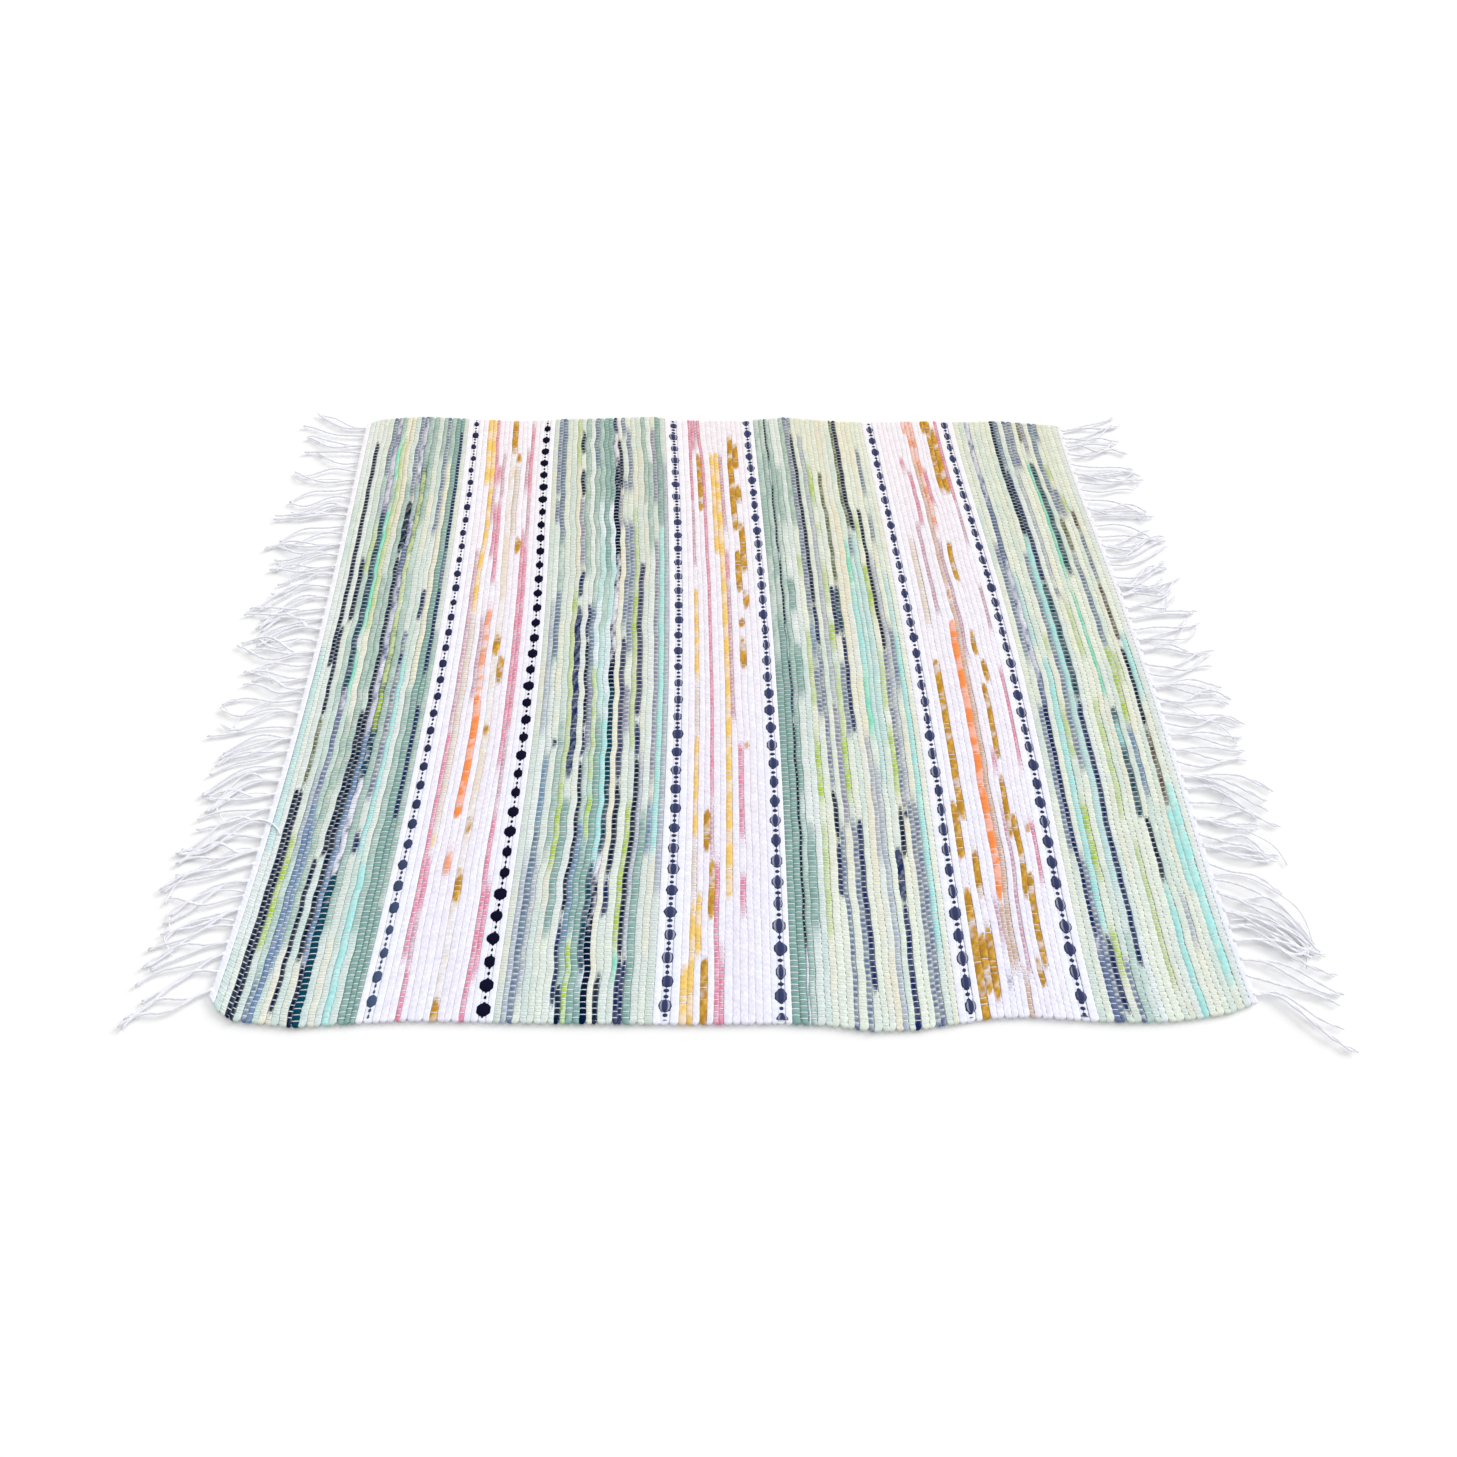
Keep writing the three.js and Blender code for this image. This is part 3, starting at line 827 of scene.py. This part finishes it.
# Fringe
TASSELS = 48
TASSEL_NODES = 16  # CAD nodes that hold them, on each side
TASSEL_LENGTH = 75.0
STRAND_STEPS = 30
STRAND_SIDES = 6
YARNS = 2  # yarns twisted into one arm of a tassel
STRAY_RADIUS = 0.66
LOWEST = 0.05  # the lowest a yarn may lie above the floor


def root_of(side, along):
    """Where a tassel leaves the heading."""
    across = np.array([side * HALF_WIDTH])
    x = across + bend(across, np.array([along]))
    return float(x[0]), float(lengthwise(x, along)[0])


def strand(cloth, path, radius):
    """One yarn along a path, a little uneven and thinning to its tip."""
    length = len(path)
    ahead = np.gradient(path, axis=0)
    ahead /= np.linalg.norm(ahead, axis=1)[:, None]
    upward = np.array([0.0, 0.0, 1.0])
    aside = np.cross(ahead, upward)
    aside /= np.linalg.norm(aside, axis=1)[:, None]
    over = np.cross(aside, ahead)
    turns = np.arange(STRAND_SIDES) * 2 * math.pi / STRAND_SIDES
    share = np.linspace(0, 1, length)
    girth = radius * (1 + 0.10 * np.sin(40 * share + 9 * radius)) * (1 - 0.25 * share ** 6)
    rings = (
        path[:, None]
        + girth[:, None, None] * np.cos(turns)[:, None] * aside[:, None]
        + girth[:, None, None] * np.sin(turns)[:, None] * over[:, None]
    )
    rings[:, :, 2] = np.maximum(rings[:, :, 2], LOWEST)
    cloth.tube(rings, np.broadcast_to(linear("fringe"), (length, 3)))


# How far the tips swing towards the near side: place along the fringe, then the distance.
LEAN_LEFT = (
    (0, -22), (0.04, -10), (0.08, -2), (0.15, 8), (0.25, 12), (0.32, 14), (0.38, 16), (0.42, 8),
    (0.47, 0), (0.55, -3), (0.60, 3), (0.65, 16), (0.70, 22), (0.75, 18), (0.80, 22), (0.86, 18),
    (0.90, 30), (0.95, 28), (1, 36),
)
LEAN_RIGHT = (
    (0, -25), (0.03, -14), (0.06, -4), (0.10, 10), (0.13, -8), (0.17, 14), (0.22, 5), (0.27, 3),
    (0.30, -24), (0.33, -26), (0.36, -22), (0.40, -18), (0.45, -12), (0.50, -6), (0.58, 0),
    (0.65, 8), (0.70, 16), (0.75, 18), (0.80, 12), (0.85, 32), (0.90, 28), (0.95, 24), (1, 24),
)


def tassel(cloth, side, index):
    """One to three soft arms that leave one root, each of a few yarns twisted together."""
    along = (index + 0.5 + 0.3 * (rng.random() - 0.5)) / TASSELS
    root_x, root_y = root_of(side, along)
    share = np.linspace(0, 1, STRAND_STEPS)
    length = TASSEL_LENGTH * rng.uniform(0.76, 1.0)
    sway = rng.uniform(2.0, 7.0) * rng.choice((-1, 1))
    beat = rng.uniform(1.2, 2.2)
    hook = rng.uniform(-7, 7)
    lean = read_off(LEAN_LEFT if side < 0 else LEAN_RIGHT, along) + rng.uniform(-5, 5)
    trunk = -lean * share ** rng.uniform(1.5, 2.5) + hook * share ** 4
    trunk = trunk + sway * np.sin(math.pi * beat * share) * share ** 0.5
    arms = int(rng.choice((1, 1, 2, 2, 2, 3)))
    parting = rng.uniform(0.12, 0.30)
    for arm in range(arms):
        apart = (arm - (arms - 1) / 2) * rng.uniform(4, 12)
        close = rng.uniform(0.55, 1.15)
        opening = np.sin(math.pi * close * np.clip(share - parting, 0, 1) / (1 - parting))
        opening = np.sign(opening) * np.abs(opening) ** 1.3
        wiggle = rng.uniform(0.4, 1.6) * np.sin(rng.uniform(5, 10) * share + rng.uniform(0, 6))
        beside = 0.9 * (arm - (arms - 1) / 2) * (1 - share)
        arm_y = trunk + beside + apart * opening + wiggle * share + rng.uniform(-6, 6) * share ** 3
        reach = length * rng.uniform(0.84, 1.0)
        hover = rng.uniform(0.2, 1.5) * np.sin(math.pi * share) ** 2
        loose = 0.28 + 1.0 * ease((share - 0.78) / 0.22) * rng.uniform(0, 1)
        turns = rng.uniform(4, 6)
        for yarn in range(YARNS):
            turn = 2 * math.pi * (yarn / YARNS + turns * share)
            x = root_x + side * (reach * rng.uniform(0.95, 1.0) * share - 1.5)
            y = root_y + arm_y + loose * np.cos(turn)
            z = 2.9 + 0.9 * (1 - share) ** 2 + hover + 0.22 * np.sin(turn)
            path = np.stack([x, y, z], -1)
            strand(cloth, path, rng.uniform(0.82, 0.94))


def stray(cloth, side, along, drop, reach, curl):
    """A single yarn that wanders across its neighbours."""
    root_x, root_y = root_of(side, along)
    share = np.linspace(0, 1, STRAND_STEPS)
    x = root_x + side * (reach * np.sin(0.5 * math.pi * share) + curl * np.sin(math.pi * share))
    y = root_y - drop * share ** 2 + 2 * np.sin(9 * share)
    z = 3.0 + 1.4 * np.sin(math.pi * share) - 1.0 * share
    strand(cloth, np.stack([x, y, z], -1), STRAY_RADIUS)


def loose_end(cloth, side, along):
    """A yarn that has come out of the cloth beside the heading and lies over it."""
    root_x, root_y = root_of(side, along)
    share = np.linspace(0, 1, STRAND_STEPS)
    x = root_x + side * (-14 + 74 * share)
    y = root_y - 6 + 15 * np.sin(math.pi * share ** 0.7) - 24 * share ** 2
    z = 4.9 + 0.7 * np.sin(math.pi * np.clip(3 * share, 0, 1)) - 2.2 * ease(share * 1.6 - 0.3)
    strand(cloth, np.stack([x, y, z], -1), STRAY_RADIUS)


# Stray yarns: the place along the fringe, how far the tip drops towards the near side, how far it
# reaches outwards, and how far it curls.
STRAYS_LEFT = (
    (0.14, -14, 60, 6), (0.33, 22, 35, 12), (0.50, 26, 30, 14), (0.56, 34, 52, -6),
    (0.72, 26, 34, 16), (0.80, 44, 60, -4), (0.86, 30, 48, 10), (0.90, 26, 40, 16),
)
STRAYS_RIGHT = (
    (0.12, 16, 62, -4), (0.36, 30, 38, 10), (0.47, -18, 58, 4), (0.58, 40, 56, -8),
    (0.70, 24, 26, 14), (0.76, 40, 62, -4), (0.84, 52, 60, 4), (0.90, 36, 48, 14),
)


LOOSE_END_AT = 0.77  # place along the left fringe


def fringe(side, name, strays, material):
    """All the tassels and stray yarns of one side. side is -1 on the left and 1 on the right."""
    cloth = Cloth()
    for index in range(TASSELS):
        tassel(cloth, side, index)
    for along, drop, reach, curl in strays:
        stray(cloth, side, along, drop, reach, curl)
    if side < 0:
        loose_end(cloth, side, LOOSE_END_AT)
    return cloth.build(name, material)


def adjust(node, settings):
    for name, value in settings.items():
        node.inputs[name].default_value = value


def cotton(name, fibre_scale, shades, roughness, bump, stretch=(1, 1, 1)):
    """Matt cotton that takes its dye from the mesh and adds fibres and small stains of shade."""
    material = bpy.data.materials.new(name)
    material.use_nodes = True
    nodes, links = material.node_tree.nodes, material.node_tree.links
    shader = nodes["Principled BSDF"]
    adjust(shader, {"Roughness": roughness, "Specular IOR Level": 0.02})
    adjust(shader, {"Sheen Weight": 0.01, "Sheen Roughness": 0.6})
    dye = nodes.new("ShaderNodeAttribute")
    dye.attribute_name = "tint"
    place = nodes.new("ShaderNodeTexCoord")
    mapping = nodes.new("ShaderNodeMapping")
    adjust(mapping, {"Scale": stretch})
    links.new(place.outputs["Object"], mapping.inputs["Vector"])
    fibres = nodes.new("ShaderNodeTexNoise")
    adjust(fibres, {"Scale": fibre_scale, "Detail": 3})
    links.new(mapping.outputs["Vector"], fibres.inputs["Vector"])
    shade = nodes.new("ShaderNodeMapRange")
    adjust(shade, {"From Min": 0.3, "From Max": 0.7, "To Min": shades[0], "To Max": shades[1]})
    links.new(fibres.outputs["Fac"], shade.inputs["Value"])
    dyed = nodes.new("ShaderNodeVectorMath")
    dyed.operation = "SCALE"
    links.new(dye.outputs["Color"], dyed.inputs[0])
    links.new(shade.outputs["Result"], dyed.inputs["Scale"])
    links.new(dyed.outputs["Vector"], shader.inputs["Base Color"])
    relief = nodes.new("ShaderNodeBump")
    adjust(relief, {"Strength": bump, "Distance": 0.0004})
    links.new(fibres.outputs["Fac"], relief.inputs["Height"])
    links.new(relief.outputs["Normal"], shader.inputs["Normal"])
    return material


def across_fold(piece):
    """Bakes the placement of a piece that crosses the fold line into its points."""
    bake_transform(piece)


def make_materials():
    """The cottons, by what they cover."""
    rag = cotton("rag_cotton", 1000, (0.89, 1.07), 0.92, 0.5, stretch=(1, 0.4, 1))
    plain = cotton("white_cotton", 1600, (0.95, 1.04), 0.9, 0.4, stretch=(1, 0.3, 1))
    yarn = cotton("warp_yarn", 2600, (0.94, 1.04), 0.88, 0.4)
    dyed = cotton("space_dyed_cord", 1800, (0.80, 1.20), 0.9, 0.5)
    fluff = cotton("fringe_yarn", 2200, (0.96, 1.04), 0.9, 0.6, stretch=(0.4, 1, 1))
    return {
        "heading": plain, "white": plain, "green": rag, "pale": rag,
        "warp": yarn, "cord": dyed, "fringe": fluff,
    }


def half_of(band):
    return "left_half" if band.left < 0 else "right_half"


def make_band(band, materials):
    """The rag rows of one band as a piece."""
    kind = band.name.split("_")[0]
    cloth = Cloth()
    for index in range(len(band.rows)):
        weave_row(cloth, band, index)
    piece = cloth.build("woven_" + band.name, materials[kind])
    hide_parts(band.name)
    if "pale_band_2" in band.name:
        across_fold(piece)
    else:
        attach(piece, half_of(band))
    return piece


def make_cord(band, cord, material):
    beads = bead_cord(band, cord, material)
    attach(beads, half_of(band))
    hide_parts("dotted_cord_%d" % (cord + 1))


def make_warp(bands, side, material):
    """The warp threads on one side of the fold line, in a few pieces."""
    for part in range(THREAD_PIECES):
        first = THREADS * part // THREAD_PIECES
        last = THREADS * (part + 1) // THREAD_PIECES
        name = "threads_%s_%d" % (side, part + 1)
        threads = weave_warp(bands, first, last, name, material)
        across_fold(threads)
        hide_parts("warp_" + side)


def make_fringe(side, word, strays, material):
    piece = fringe(side, "fringe_" + word, strays, material)
    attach(piece, word + "_half")
    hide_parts(*["tassels_%s_%02d" % (word, i + 1) for i in range(TASSEL_NODES)])
    return piece


def declare_sheets(bands):
    """Goes through the bands and skips the headings; nothing more is done."""
    for band in bands:
        if "heading" in band.name:
            continue


def make_mat():
    materials = make_materials()
    bands = make_bands()
    cord = 0
    for band in bands:
        make_band(band, materials)
        if band.name.startswith("white"):
            make_cord(band, cord, materials["cord"])
            cord += 1
    for side in ("left", "right"):
        mine = [band for band in bands if half_of(band) == side + "_half"]
        make_warp(mine, side, materials["warp"])
    make_fringe(-1, "left", STRAYS_LEFT, materials["fringe"])
    make_fringe(1, "right", STRAYS_RIGHT, materials["fringe"])
    declare_sheets(bands)


def floor():
    """A plain pale floor, 6 m square."""
    mesh = bpy.data.meshes.new("floor")
    size = 3.0
    corners = [(-size, -size, 0), (size, -size, 0), (size, size, 0), (-size, size, 0)]
    mesh.from_pydata(corners, [], [(0, 1, 2, 3)])
    material = bpy.data.materials.new("floor")
    material.use_nodes = True
    shader = material.node_tree.nodes["Principled BSDF"]
    adjust(shader, {"Base Color": (0.957, 0.957, 0.957, 1), "Roughness": 1.0})
    adjust(shader, {"Specular IOR Level": 0.0})
    mesh.materials.append(material)
    ground = bpy.data.objects.new("floor", mesh)
    bpy.context.scene.collection.objects.link(ground)


def sun(name, towards, strength, spread):
    """A wide soft light from one side. towards points from the mat to the light."""
    data = bpy.data.lights.new(name, "SUN")
    data.energy = strength
    data.angle = spread
    light = bpy.data.objects.new(name, data)
    light.rotation_euler = Vector(towards).to_track_quat("Z", "Y").to_euler()
    bpy.context.scene.collection.objects.link(light)


def studio():
    """Soft white light from all round, a key from the far right and a fill from above."""
    world = bpy.data.worlds.new("studio")
    world.use_nodes = True
    sky = world.node_tree.nodes["Background"]
    adjust(sky, {"Color": (1.0, 1.0, 1.0, 1), "Strength": 0.515})
    bpy.context.scene.world = world
    sun("key", (0.75, 0.45, 0.50), 1.62, 0.45)
    sun("fill", (0.1, 0.3, 1.0), 0.95, 1.0)


def camera():
    """A wide lens above the near edge, looking down at the mat."""
    data = bpy.data.cameras.new("camera")
    data.lens = 22.53
    data.sensor_width = 36
    data.shift_x = 0.0258
    data.shift_y = -0.0607
    eye = bpy.data.objects.new("camera", data)
    eye.location = (-0.0492, -0.4346, 0.6939)
    eye.rotation_euler = tuple(math.radians(a) for a in (33.42, -1.02, -0.61))
    bpy.context.scene.collection.objects.link(eye)
    bpy.context.scene.camera = eye


make_mat()
floor()
studio()
camera()
bpy.context.scene.view_settings.view_transform = "Standard"
